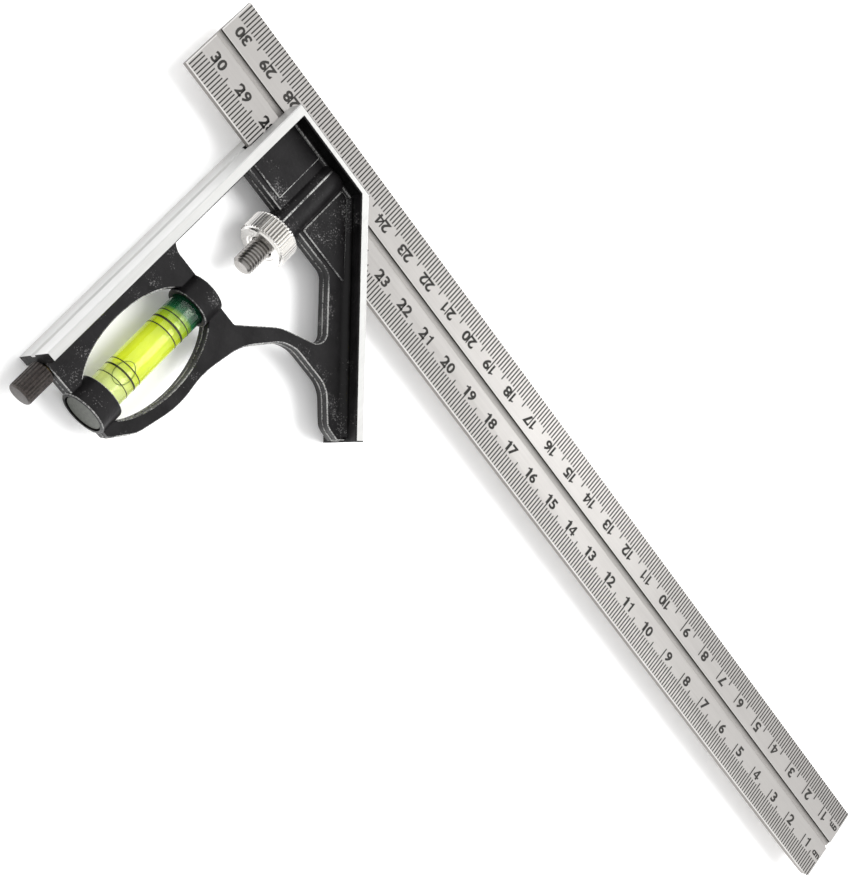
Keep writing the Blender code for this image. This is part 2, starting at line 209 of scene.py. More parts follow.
def mottled(name, low, high, size, grain=0.2, **shader_inputs):
    """A moulded, plated or filled surface: soft clouds of tone and a fine uneven skin."""
    made, tree, shader = new_material(name, **shader_inputs)
    where = add(tree, "ShaderNodeTexCoord")
    cloud = add(tree, "ShaderNodeTexNoise", n0=(where, "Object"), Scale=1 / (size * MM), Detail=4.0)
    base = ramp(tree, (cloud, "Fac"), [(0.35, colour(low)), (0.65, colour(high))])
    link(tree, base, "Color", shader, "Base Color")
    bump = add(tree, "ShaderNodeBump", Strength=grain, Distance=0.00004, Height=(cloud, "Fac"))
    link(tree, bump, "Normal", shader, "Normal")
    return made


# Each metal's lines run the way it was worked: along v for the head's faces, along u for the rule.
ALONG_V = (900.0, 60.0, 900.0)
ALONG_U = (60.0, 2500.0, 2500.0)

# Black coat with a soft sheen, peppered with tiny grey specks that break up its flat areas.
PAINT = enamel("sprayed_black_enamel", "#5E5D5D", 0.365, 0.46, "#0B0A0B", "#151415")
# Nearly pure black inside the corners: painted shade on the rims' walls, so the rims read as deep.
PAINTED_SHADE_ENAMEL = enamel("enamel_with_painted_wall_shade", "#3A3A3A", 0.4, 0.5, "#050505", "#0A0A0A", 0.12)
# Broken grey line along every chamfer and casting seam: a painted highlight which draws the web's outline.
EDGE_HIGHLIGHT_ENAMEL = enamel("enamel_edge_with_painted_highlight", "#A2A2A0", 0.18, 0.32, "#2A292A", "#454445")
# Pale, even band with faint grinding lines along the leg.
GROUND = brushed_metal("ground_zinc_casting", "#BCBCBB", "#CBCBCA", ALONG_V, 0.42, metallic=0.55)
# Brightest flat of the casting: bare metal on the rim tops, a brighter copy of the ground faces as painted light
# from above, a white line that frames the black web.
BRIGHTENED_RIM_TOP_METAL = brushed_metal("rim_top_metal_with_painted_light", "#D0D0CE", "#E0E0DE", ALONG_V, 0.45)
# Warm light grey with fine lines along the rule, and no mirror glare.
SATIN = brushed_metal("satin_chromed_rule_steel", "#C1BEBB", "#CDCAC7", ALONG_U, 0.36)
# The same tone, duller, so that the groove's floor gives no streaks.
GROOVE_FLOOR_STEEL = brushed_metal("dull_groove_floor", "#B4B1AE", "#C0BDBA", ALONG_U, 0.62, 0.04)
# A thin painted highlight round the rule's edges.
RULE_EDGE_HIGHLIGHT = brushed_metal("rule_edge_with_painted_highlight", "#E6E4E1", "#F4F2F0", ALONG_U, 0.3)
# Mid grey sides, painted shade which gives the rule its thickness against a white floor.
SHADED_RULE_SIDE = brushed_metal("rule_side_with_painted_shade", "#75726F", "#8A8784", ALONG_U, 0.5)
# The dark line of the groove: painted shade on its walls.
SHADED_GROOVE_WALL = brushed_metal("groove_wall_with_painted_shade", "#4E4B48", "#625F5C", ALONG_U, 0.5)
# White glints on the tips of the knurl and the face of the nut.
NICKEL = brushed_metal("bright_nickel_plate", "#F0EEEA", "#FAF8F5", (700.0, 90.0, 700.0), 0.28)
# Dark stripes between the knurl's teeth: painted shade in the knurl's roots.
SHADED_KNURL_ROOT = brushed_metal("knurl_root_with_painted_shade", "#6E6C69", "#8A8885", (700.0, 90.0, 700.0), 0.4)
# Warm grey thread, duller than the nut and mottled by its plating.
ZINC = brushed_metal("dull_zinc_plate", "#8E8B88", "#ACA9A6", (500.0, 500.0, 500.0), 0.3, 0.3)
# Bright needle with grinding lines, seen when the scriber is out.
TOOL_STEEL = brushed_metal("ground_tool_steel", "#A6A6A4", "#BEBEBC", ALONG_V, 0.28)
# Grey wire with soft highlights.
SPRING_STEEL = brushed_metal("bright_spring_wire", "#8F8F8F", "#ABABAB", (900.0, 900.0, 900.0), 0.3)
# Brown-gold ring inside the leg's bore.
BRASS = brushed_metal("tarnished_brass", "#5E5034", "#7A6840", ALONG_V, 0.3)
# Brown-black flutes with dull highlights on their crests.
BLACKENED = mottled("blackened_steel", "#2B2725", "#423C39", 0.6, 0.4, Metallic=0.45, Roughness=0.42)
# Near-black, matt marks that stand out from the satin rule.
INK = mottled("black_filled_engraving", "#171614", "#24221F", 0.4, Roughness=0.62)
# Thin black bands round the vial, a little green where the spirit shows through the print.
RING_INK = mottled("black_ring_print", "#15170A", "#23260F", 0.4, Roughness=0.5)
# An olive line round the bubble: painted shade at its edge.
BUBBLE_EDGE_SHADE = mottled("shadow_at_the_bubble_edge", "#6E8420", "#87992E", 0.8, 0.0, Roughness=0.4)
# A dark, slightly green disc, smoother than the enamel round it.
DARK_CAP = mottled("dark_moulded_cap", "#30332D", "#41443C", 0.8, 0.3, Roughness=0.5)
# Milky pale green at the foot of the vial.
PLUG = mottled("cloudy_moulded_plug", "#DCE89A", "#EAF2B8", 1.5, Roughness=0.2, Transmission_Weight=0.5)
# Clear wall with sharp highlights along the vial.
TUBE = mottled("clear_acrylic_tube", "#FAFCEB", "#FFFFF6", 2.0, 0.05, Roughness=0.02, IOR=1.49,
               Transmission_Weight=1.0)


def dyed_spirit(stops):
    """Dyed spirit, painted dark as shade where it lies in the upper boss, pale round the bubble, and glowing
    faintly as painted light for its fluorescent dye. stops are (v, colour).
    """
    made, tree, shader = new_material("dyed_vial_spirit_with_painted_shade_and_glow", Roughness=0.02, IOR=1.36, Transmission_Weight=0.45,
                                      Emission_Strength=0.14)
    low, high = LIQUID[0].y, LIQUID[1].y
    where = add(tree, "ShaderNodeTexCoord")
    foot = ORIGIN.y + low * MM
    span = (high - low) * MM
    placed = add(tree, "ShaderNodeMapping", n0=(where, "Object"), Location=(0.0, -foot / span, 0.0),
                 Scale=(1 / span, 1 / span, 1 / span))
    parts = add(tree, "ShaderNodeSeparateXYZ", n0=(placed, "Vector"))
    swirl = add(tree, "ShaderNodeTexNoise", n0=(where, "Object"), Scale=400.0, Detail=2.0)
    shifted = add(tree, "ShaderNodeMath", {"operation": "MULTIPLY_ADD"}, n0=(swirl, "Fac"), n1=0.03,
                  n2=(parts, "Y"))
    base = ramp(tree, (shifted, "Value"), [((v - low) / (high - low) + 0.015, colour(code)) for v, code in stops])
    link(tree, base, "Color", shader, "Base Color")
    # The spirit glows faintly in its own colour: painted light.
    link(tree, base, "Color", shader, "Emission Color")
    return made


# The dark greens at the top are painted shade where the spirit lies in the upper boss.
SPIRIT = dyed_spirit([
    (-76.0, "#E4EDB4"), (-69.0, "#E8F2A0"), (-64.0, "#E6F33C"), (-57.0, "#EEFA48"), (-50.0, "#E0F238"),
    (-46.6, "#B4D838"), (-45.0, "#1E7048"), (-42.5, "#12432F"),
])


# Shapes


def rounded(corners, step=math.radians(12)):
    """An outline through (x, y, radius) corners, each turned into an arc of its radius."""
    points = []
    count = len(corners)
    for i, (x, y, radius) in enumerate(corners):
        corner = Vector((x, y))
        back = (Vector(corners[i - 1][:2]) - corner).normalized()
        ahead = (Vector(corners[(i + 1) % count][:2]) - corner).normalized()
        if radius == 0:
            points.append(corner)
            continue
        half = back.angle(ahead) / 2
        centre = corner + (back + ahead).normalized() * radius / math.sin(half)
        first = corner + back * radius / math.tan(half) - centre
        turn = first.angle_signed(corner + ahead * radius / math.tan(half) - centre)
        steps = max(2, math.ceil(abs(turn) / step))
        for k in range(steps + 1):
            points.append(centre + Matrix.Rotation(-turn * k / steps, 2) @ first)
    return points


def offset(loop, amount):
    """The loop moved sideways, to the left of the way it runs when amount is above 0."""
    moved = []
    for i, point in enumerate(loop):
        back = (point - loop[i - 1]).normalized()
        ahead = (loop[(i + 1) % len(loop)] - point).normalized()
        left = Vector((-back.y - ahead.y, back.x + ahead.x)).normalized()
        moved.append(point + left * amount / max(0.5, left.dot(Vector((-back.y, back.x)))))
    return moved


def plate(loops, half, chamfer=0.0, flash=0.0):
    """The first loop less the others, half thick each way. flash is a ridge round its middle."""
    rows = [(-half, chamfer), (-half + chamfer, 0.0)] if chamfer else [(-half, 0.0)]
    if flash:
        rows += [(-FLASH_HALF, 0.0), (0.0, -flash), (FLASH_HALF, 0.0)]
    rows += [(half - chamfer, 0.0), (half, chamfer)] if chamfer else [(half, 0.0)]
    bm = bmesh.new()
    caps = [[], []]
    for order, loop in enumerate(loops):
        loop = [Vector(point) for point in loop]
        area = sum(a.cross(b) for a, b in zip(loop, loop[1:] + loop[:1]))
        if (area > 0) != (order == 0):
            loop.reverse()
        rings = [[bm.verts.new((*point, level)) for point in offset(loop, inset)] for level, inset in rows]
        for low, high in zip(rings, rings[1:]):
            for i in range(len(loop)):
                bm.faces.new((low[i - 1], low[i], high[i], high[i - 1]))
        for cap, ring in zip(caps, (rings[0], rings[-1])):
            cap += [bm.edges.get((ring[i - 1], ring[i])) for i in range(len(ring))]
    for cap in caps:
        bmesh.ops.triangle_fill(bm, use_beauty=True, edges=cap)
    bmesh.ops.recalc_face_normals(bm, faces=bm.faces)
    return bm


def turned(profile, segments, u=0.0):
    """A (radius, v) profile spun about an axis along v at u. Points at radius 0 close it."""
    bm = bmesh.new()
    verts = [bm.verts.new((radius, v, 0)) for radius, v in profile]
    edges = [bm.edges.new(pair) for pair in zip(verts, verts[1:])]
    if profile[0][0] > 0:
        edges.append(bm.edges.new((verts[-1], verts[0])))
    bmesh.ops.spin(
        bm, geom=verts + edges, axis=(0, 1, 0), cent=(0, 0, 0), angle=math.tau, steps=segments,
        use_merge=True,
    )
    bmesh.ops.remove_doubles(bm, verts=bm.verts, dist=1e-4)
    bmesh.ops.recalc_face_normals(bm, faces=bm.faces)
    bmesh.ops.translate(bm, verts=bm.verts, vec=(u, 0, 0))
    return bm


def arc(radius, v, size, start, end, steps=4):
    """Points of a small round of this size about (radius, v), between two angles in degrees."""
    angles = [math.radians(start + (end - start) * k / steps) for k in range(steps + 1)]
    return [(radius + size * math.cos(a), v + size * math.sin(a)) for a in angles]


def round_rod(radius, low, high, size, segments, u):
    """A rod whose two ends are rounded over."""
    profile = [(0, low), *arc(radius - size, low + size, size, -90, 0),
               *arc(radius - size, high - size, size, 0, 90), (0, high)]
    return turned(profile, segments, u)


def box(low, high):
    bm = bmesh.new()
    middle = (Vector(low) + Vector(high)) / 2
    size = Vector(high) - Vector(low)
    bmesh.ops.create_cube(bm, size=1.0, matrix=Matrix.Translation(middle) @ Matrix.Diagonal((*size, 1.0)))
    return bm


def beam(section, start, across, up, along):
    """A section of (across, up) points drawn from start and pushed along a vector."""
    bm = bmesh.new()
    face = bm.faces.new([bm.verts.new(start + across * a + up * b) for a, b in section])
    made = bmesh.ops.extrude_face_region(bm, geom=[face])["geom"]
    bmesh.ops.translate(bm, verts=[i for i in made if isinstance(i, bmesh.types.BMVert)], vec=along)
    bmesh.ops.recalc_face_normals(bm, faces=bm.faces)
    return bm


def foot_fillet(radius):
    """Section of the concave round between a wall and the plate that it stands on."""
    steps = 5
    curve = [math.radians(90 * k / steps) for k in range(steps + 1)]
    round_part = [(radius * (1 - math.sin(a)), radius * (1 - math.cos(a))) for a in curve]
    return [(-0.4, -0.4), (radius, -0.4), *round_part, (-0.4, radius)]


def combine(bm, *steps):
    """Joins shapes to bm or cuts them away. Each step is (operation, shape)."""
    made = []

    def temporary(shape):
        mesh = bpy.data.meshes.new("temporary")
        shape.to_mesh(mesh)
        shape.free()
        obj = bpy.data.objects.new("temporary", mesh)
        bpy.context.collection.objects.link(obj)
        made.append(obj)
        return obj

    base = temporary(bm)
    for operation, shape in steps:
        step = base.modifiers.new(operation, "BOOLEAN")
        step.operation = operation
        step.solver = "EXACT"
        step.object = temporary(shape)
    bpy.context.view_layer.update()
    seen = base.evaluated_get(bpy.context.evaluated_depsgraph_get())
    joined = bmesh.new()
    joined.from_mesh(seen.to_mesh())
    seen.to_mesh_clear()
    for obj in made:
        mesh = obj.data
        bpy.data.objects.remove(obj)
        bpy.data.meshes.remove(mesh)
    return joined


def piece(name, bm, body, materials, replaces=(), sharp=38):
    """Places a shape in the world as one piece of the visual model."""
    bmesh.ops.transform(bm, matrix=TO_WORLD, verts=bm.verts)
    mesh = bpy.data.meshes.new(name)
    bm.to_mesh(mesh)
    bm.free()
    for finish in materials:
        mesh.materials.append(finish)
    obj = bpy.data.objects.new(name, mesh)
    bpy.context.collection.objects.link(obj)
    mesh.shade_smooth()
    mesh.set_sharp_from_angle(angle=math.radians(sharp))
    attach(obj, body)
    if replaces:
        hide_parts(*replaces)
    return obj


# Head


def web_loops():
    """The web's outline, the clamp's window and the oval window round the vial."""
    edge = FACE_RIM / 2
    top = HEAD_TOP - EDGE_RIM / 2
    start = Vector((MITRE_START, HEAD_TOP)) - OUT.xy * MITRE_RIM / 2
    end = start + LEG.xy * (MITRE_LENGTH - 0.4)
    leg_end = end - OUT.xy * 3.4
    outer = rounded([
        (edge, HEAD_FOOT + 0.3, 0),
        (edge, top, 0),
        (start.x + start.y - top, top, 0),
        (end.x, end.y, 0),
        (leg_end.x, leg_end.y, 0),
        (65.6, -33.0, 4),
        (58.0, -26.2, 8),
        (42.6, -26.2, 9),
        (34.3, -37.5, 16),
        (32.2, -49.5, 24),
        (33.5, -60.5, 24),
        (30.7, -73.2, 10),
        (26.4, HEAD_FOOT + 0.2, 1.0),
    ], math.radians(6))
    window = rounded([
        (FACE_RIM - 0.3, -5.8, 0.6),
        (37.5, -5.8, 4),
        (51.1, -19.6, 3),
        (38.2, -26.0, 14),
        (29.2, -35.4, 0.8),
        (FACE_RIM - 0.3, -34.9, 5.0),
    ], math.radians(8))
    turn = [math.tau * k / 72 for k in range(72)]
    vial = [(VIAL_U + 11.4 * math.cos(a), -58.2 + 20.3 * math.sin(a)) for a in turn]
    return [outer, window, vial]


def flange():
    """The tall rims along the 90 degree leg, the outer edge and the 45 degree leg."""
    start = Vector((MITRE_START, HEAD_TOP))
    end = start + LEG.xy * MITRE_LENGTH
    inner_end = end - OUT.xy * MITRE_RIM
    inner_top = HEAD_TOP - EDGE_RIM
    inner_start = (inner_end.x + inner_end.y - inner_top, inner_top)
    outline = [
        (0, HEAD_FOOT), (0, HEAD_TOP), start, end, inner_end, inner_start,
        (FACE_RIM, inner_top), (FACE_RIM, HEAD_FOOT),
    ]
    return plate([outline], HEAD_HALF, chamfer=0.3)


def pad(corners):
    """A low plateau on both sides of the web."""
    outline = rounded(corners, math.radians(20))
    return plate([outline], WEB_HALF + PAD_RISE, chamfer=0.28)


def head_steps():
    """Everything joined to the web, then everything cut from it."""
    yield "UNION", flange()
    top = HEAD_TOP - EDGE_RIM
    mitre_wall = Vector((MITRE_START, HEAD_TOP, 0)) - OUT * MITRE_RIM
    for side in (1, -1):
        up = Z_AXIS * side
        plane = up * WEB_HALF
        for low, high in ((HEAD_FOOT + 0.4, -35.2), (-6.0, top)):
            foot = Vector((FACE_RIM, low, 0)) + plane
            yield "UNION", beam(foot_fillet(1.1), foot, X_AXIS, up, Y_AXIS * (high - low))
        foot = Vector((FACE_RIM - 0.3, top, 0)) + plane
        yield "UNION", beam(foot_fillet(1.3), foot, -Y_AXIS, up, X_AXIS * 25.2)
        foot = mitre_wall + LEG * 0.8 + plane
        yield "UNION", beam(foot_fillet(1.9), foot, -OUT, up, LEG * (MITRE_LENGTH - 2.0))
    yield "UNION", pad([(3.3, -4.3, 0.5), (14.6, -4.3, 0.5), (14.6, 11.8, 0.5), (3.3, 11.8, 0.5)])
    yield "UNION", pad([(24.7, -4.5, 0.5), (42.4, -4.5, 0.5), (27.1, 11.3, 0.5), (24.7, 11.3, 0.5)])
    boss = [(0, -8.9), *arc(4.2, -8.5, 0.4, -90, 0, 3), *arc(3.8, 11.9, 0.8, 0, 60, 4), (3.4, 13.0), (0, 13.0)]
    yield "UNION", turned(boss, 64, BOLT_U)
    # A thin ridge along each flank of the boss, which carries a painted highlight.
    for side in (1, -1):
        seam = turned([(0, -8.2), (0.26, -8.2), (0.26, 11.6), (0, 11.6)], 12, BOLT_U - 1.9)
        bmesh.ops.translate(seam, verts=seam.verts, vec=(0, 0, side * 4.16))
        yield "UNION", seam
    for radius, (low, high) in ((6.5, LOWER_BOSS), (6.0, UPPER_BOSS)):
        yield "UNION", round_rod(radius, low, high, 0.45, 64, VIAL_U)
    half_slot = 1.3
    yield "DIFFERENCE", box((-1, RULE[0].y - 0.12, -half_slot), (80, HEAD_TOP + 1, half_slot))
    yield "DIFFERENCE", box((-1, RULE[0].y - 0.6, -2.2), (0.7, HEAD_TOP + 1, 2.2))
    bolt_bore = [(0, -10), (4.0, -10), (4.0, -2.6), (BOLT_BORE, -2.6), (BOLT_BORE, 13.4), (0, 13.4)]
    yield "DIFFERENCE", turned(bolt_bore, 48, BOLT_U)
    vial_bore = [(0, -81), (5.5, -81), (5.5, -77.7), (4.9, -77.7), (4.9, -36.7), (0, -36.7)]
    yield "DIFFERENCE", turned(vial_bore, 56, VIAL_U)
    needle_bore = [(0, -81), (2.05, -81), (2.05, -73.9), (1.2, -73.9), (1.2, -38), (0, -38)]
    yield "DIFFERENCE", turned(needle_bore, 24, HANDLE_U)
    relief = [(-1, -1.3), (0, -1.3), (0.5, -0.9), (0.5, 0.9), (0, 1.3), (-1, 1.3)]
    yield "DIFFERENCE", beam(relief, Vector((0, HEAD_FOOT - 1, 0)), X_AXIS, Z_AXIS, Y_AXIS * 80)
    start = Vector((MITRE_START, HEAD_TOP, 0)) + LEG * 18
    yield "DIFFERENCE", beam(relief, start, -OUT, Z_AXIS, LEG * (MITRE_LENGTH - 17))


def is_linished(face):
    """True on the flat tops of the rims, which are painted brighter as painted light."""
    return abs(face.normal.z) > 0.9 and abs(face.calc_center_median().z) > HEAD_HALF - 0.05


def is_ground(face):
    """True on the two reference faces, which a grinding wheel has bared."""
    centre = face.calc_center_median()
    normal = face.normal
    if normal.x < -0.6 and centre.x < 0.55:
        return True
    outside = (centre - Vector((MITRE_START, HEAD_TOP, 0))).dot(OUT)
    return normal.dot(OUT) > 0.6 and outside > -0.55 and centre.y < HEAD_TOP - 0.05


def is_edge(face):
    """True on the narrow faces that get a painted highlight: chamfers, flash, the boss's seam and the rounds at the
    vial bosses' ends.
    """
    centre = face.calc_center_median()
    slope = abs(face.normal.z)
    level = abs(centre.z)
    by_bolt = abs(centre.x - BOLT_U) < 4.7 and -9 < centre.y < 11.8
    by_vial = abs(centre.x - VIAL_U) < 6.6 and (centre.y < -72.8 or -41.8 < centre.y < -35.1)
    if by_bolt:
        return Vector((centre.x - BOLT_U, 0, centre.z)).length > 4.61
    if by_vial:
        turned_end = min(abs(centre.y - v) for v in LOWER_BOSS + UPPER_BOSS)
        return 0.02 < turned_end < 0.4 and abs(face.normal.y) > 0.2
    chamfer = WEB_HALF - 0.25 < level < WEB_HALF - 0.02 or WEB_HALF + 0.28 < level < WEB_HALF + 0.54
    return (chamfer and 0.4 < slope < 0.95) or (level < 0.21 and slope > 0.2)


def is_wall(face):
    """True on the walls of the rims, which get painted shade."""
    return abs(face.normal.z) < 0.3 and abs(face.calc_center_median().z) > WEB_HALF + 0.9


def build_head():
    web = plate(web_loops(), WEB_HALF, chamfer=WEB_CHAMFER, flash=0.22)
    bm = combine(web, *head_steps())
    bm.normal_update()
    # Rim tops get painted light, rim walls painted shade and narrow edges a painted highlight.
    for face in bm.faces:
        tests = (is_ground, is_edge, is_linished, is_wall)
        face.material_index = next((i for i, test in enumerate(tests, 1) if test(face)), 0)
    finishes = [PAINT, GROUND, EDGE_HIGHLIGHT_ENAMEL, BRIGHTENED_RIM_TOP_METAL, PAINTED_SHADE_ENAMEL]
    made = piece("cast_head", bm, "head", finishes, ["head_casting"])
    even = made.modifiers.new("even_shading", "WEIGHTED_NORMAL")
    even.keep_sharp = True
    return made


build_head()


# Rule

GROOVE = (10.5, 12.7)
GROOVE_FLOOR = 0.2
TICK_PROUD = 0.02
TICK_WIDTH = 0.36
MARK_INSET = 0.28
INCH = 25.4


def build_rule():
    low, high = RULE[0].y, RULE[1].y
    edge, lip = 0.26, 0.08
    near, far = GROOVE
    section = [
        (low + edge, -1), (low, -1 + edge), (low, 1 - edge), (low + edge, 1),
        (near - lip, 1), (near, 1 - lip), (near, GROOVE_FLOOR),
        (far, GROOVE_FLOOR), (far, 1 - lip), (far + lip, 1),
        (high - edge, 1), (high, 1 - edge), (high, -1 + edge), (high - edge, -1),
    ]
    start = Vector((RULE[0].x, 0, 0))
    bm = beam(section, start, Y_AXIS, Z_AXIS, X_AXIS * (RULE[1].x - RULE[0].x))
    end = RULE[1].x
    corner = plate([[(end - 5.5, low - 1), (end + 1, low - 1), (end + 1, low + 1.4), (end, low + 1.0),
                     (end - 1.2, low + 0.45), (end - 3.0, low + 0.12), (end - 5.5, low)]], 2)
    notch = turned([(0, 10.3), (0.35, 10.5), (0.5, 11.0), (0.35, 11.5), (0, 11.7)], 16, end)
    ends = [e for e in bm.edges if e.verts[0].co.x == e.verts[1].co.x and abs(e.verts[0].co.z) > 0.99
            and abs(e.verts[1].co.z) > 0.99 and e.verts[0].co.z * e.verts[1].co.z > 0]
    bmesh.ops.bevel(bm, geom=ends, offset=0.3, affect="EDGES", segments=1, profile=0.5, material=-1)
    bm = combine(bm, ("DIFFERENCE", corner), ("DIFFERENCE", notch))
    bm.normal_update()
    for face in bm.faces:
        centre = face.calc_center_median()
        slope = abs(face.normal.z)
        in_groove = near - 0.01 < centre.y < far + 0.01 and centre.z > 0
        # The groove's walls and the rule's sides get painted shade, its chamfers a painted highlight.
        if in_groove:
            face.material_index = 2 if slope < 0.3 else 4 if centre.z < 0.5 else 1
        else:
            face.material_index = 3 if slope < 0.3 else 1 if slope < 0.95 else 0
    finishes = [SATIN, RULE_EDGE_HIGHLIGHT, SHADED_GROOVE_WALL, SHADED_RULE_SIDE, GROOVE_FLOOR_STEEL]
    return piece("rule", bm, "blade", finishes, ["blade"])


def tick(bm, u, v_edge, length, side):
    """One filled line from an edge inwards. side is 1 on the upper face and -1 on the lower."""
    inwards = 1 if v_edge < 10 else -1
    middle = Vector((u, v_edge + inwards * length / 2, side))
    size = Matrix.Diagonal((TICK_WIDTH, length, 2 * TICK_PROUD, 1.0))
    bmesh.ops.create_cube(bm, size=1.0, matrix=Matrix.Translation(middle) @ size)


def glyphs(characters):
    """Each character as a flat closed mesh of height 1, centred across."""
    made = {}
    for character in characters:
        text = bpy.data.curves.new("temporary", "FONT")
        text.body = character
        text.resolution_u = 3
        text.extrude = 0.01
        text.offset = 0.034
        obj = bpy.data.objects.new("temporary", text)
        bpy.context.collection.objects.link(obj)
        bpy.context.view_layer.update()
        mesh = bpy.data.meshes.new_from_object(obj.evaluated_get(bpy.context.evaluated_depsgraph_get()))
        bpy.data.objects.remove(obj)
        bpy.data.curves.remove(text)
        xs = [vert.co.x for vert in mesh.vertices]
        ys = [vert.co.y for vert in mesh.vertices]
        tall = max(ys) - min(ys)
        mesh.transform(Matrix.Translation((-(max(xs) + min(xs)) / 2, -min(ys), 0)))
        mesh.transform(Matrix.Diagonal((1 / tall, 1 / tall, 2.0, 1.0)))
        made[character] = mesh
    return made


def drawn(loops):
    """A straight-sided character as a flat closed mesh of height 1, centred across."""
    bm = plate(loops, 0.02)
    across = [vert.co.x for vert in bm.verts]
    bmesh.ops.translate(bm, verts=bm.verts, vec=(-(max(across) + min(across)) / 2, 0, 0))
    mesh = bpy.data.meshes.new("temporary")
    bm.to_mesh(mesh)
    bm.free()
    return mesh


GLYPHS = glyphs("02356789cm")
GLYPHS["1"] = drawn([[
    (0.08, 0), (0.25, 0), (0.25, 1), (0.14, 1), (0.04, 0.86), (-0.13, 0.79), (-0.13, 0.66), (0.08, 0.71),
]])
GLYPHS["4"] = drawn([
    [(0.36, 0), (0.54, 0), (0.54, 0.20), (0.68, 0.20), (0.68, 0.36), (0.54, 0.36), (0.54, 1), (0.39, 1),
     (0, 0.38), (0, 0.20), (0.36, 0.20)],
    [(0.15, 0.36), (0.36, 0.36), (0.36, 0.70)],
])


def number(bm, value, u, v_foot, height, way, side, offsets):
    """A number whose digits stand on v_foot. way is 1 upright and -1 upside down, seen from above."""
    for digit, across in zip(str(value), offsets):
        turn = Matrix.Rotation(math.pi if way < 0 else 0.0, 4, "Z")
        flip = Matrix.Rotation(math.pi if side < 0 else 0.0, 4, "Y")
        size = Matrix.Diagonal((height * 1.12, height, 1.0, 1.0))
        place = Matrix.Translation((u + across, v_foot, side))
        before = len(bm.verts)
        bm.from_mesh(GLYPHS[digit])
        bm.verts.ensure_lookup_table()
        bmesh.ops.transform(bm, matrix=place @ turn @ flip @ size, verts=bm.verts[before:])


def build_graduations():
    """Centimetres along both edges of the upper face."""
    bm = bmesh.new()
    zero = RULE[1].x
    low, high = RULE[0].y + MARK_INSET, RULE[1].y - MARK_INSET
    for k in range(1, 305):
        length_low = 8.4 if k % 10 == 0 else 6.3 if k % 5 == 0 else 5.1
        length_high = 8.9 if k % 10 == 0 else 6.7 if k % 5 == 0 else 5.2
        tick(bm, zero - k, low, length_low, 1)
        tick(bm, zero - k, high, length_high, 1)
    for v_foot, way in ((5.4, 1), (17.6, -1)):
        number(bm, "cm", zero - 2.6, v_foot, 1.5, way, 1, [-0.9 * way, 0.7 * way])
    for k in range(1, 31):
        u = zero - 10 * k
        single = k < 10
        number(bm, k, u, 5.0, 3.15, 1, 1, [2.2] if single else [-0.75, 1.7])
        number(bm, k, u, 17.9, 3.2, -1, 1, [2.1] if single else [1.35, -1.2])
    return piece("centimetre_marks", bm, "blade", [INK])


def build_inch_graduations():
    """Sixteenths and thirty-seconds of an inch along the edges of the lower face."""
    bm = bmesh.new()
    zero = RULE[1].x
    low, high = RULE[0].y + MARK_INSET, RULE[1].y - MARK_INSET
    for divisions, edge in ((16, low), (32, high)):
        for k in range(1, 12 * divisions):
            if k % divisions == 0:
                length = 8.4
            elif k % (divisions // 2) == 0:
                length = 6.6
            elif k % (divisions // 4) == 0:
                length = 5.4
            else:
                length = 4.2 if k % (divisions // 8) == 0 else 3.2
            tick(bm, zero - INCH * k / divisions, edge, length, -1)
    for k in range(1, 12):
        u = zero - INCH * k
        number(bm, k, u, 8.6, 3.2, -1, -1, [-2.2] if k < 10 else [-0.75, 1.7])
        number(bm, k, u, 14.4, 3.2, 1, -1, [-2.2] if k < 10 else [1.7, -0.75])
    return piece("inch_marks", bm, "blade", [INK])


build_rule()
build_graduations()
build_inch_graduations()


# Clamp

NUT_TEETH = 46


def knurled(profile, teeth, rim, depth, u):
    """A turned shape whose rim is pushed in at every second pair of points, as a straight knurl."""
    bm = turned(profile, 4 * teeth, 0.0)
    for vert in bm.verts:
        across = vert.co.xz
        if across.length < rim - 0.02:
            continue
        place = (math.atan2(across.y, across.x) / math.tau * teeth + 1e-4) % 1.0
        if place > 0.45:
            vert.co.x *= (across.length - depth) / across.length
            vert.co.z *= (across.length - depth) / across.length
    bmesh.ops.translate(bm, verts=bm.verts, vec=(u, 0, 0))
    return bm


def build_nut():
    back, front = NUT[1].y, NUT[0].y
    rim = (NUT[1].x - NUT[0].x) / 2
    profile = [
        (3.05, back), (rim - 0.6, back), (rim, back - 0.55), (rim, front + 0.95), (rim - 0.42, front + 0.72),
        (rim - 0.75, front + 0.5), (rim - 0.6, front + 0.3), (rim - 0.8, front),
        (4.3, front), (4.0, front + 0.25), (3.4, front + 0.25), (3.05, front + 0.55),
    ]
    bm = knurled(profile, NUT_TEETH, rim, 0.5, BOLT_U)
    bm.normal_update()
    for face in bm.faces:
        centre = face.calc_center_median()
        reach = Vector((centre.x - BOLT_U, 0, centre.z)).length
        in_root = front + 0.9 < centre.y < back - 0.5 and reach < rim - 0.3
        # Faces sunk in the knurl's roots get painted shade.
        face.material_index = 1 if in_root and reach > rim - 1 else 0
    return piece("knurled_nut", bm, "nut", [NICKEL, SHADED_KNURL_ROOT], ["clamp_nut"], sharp=25)


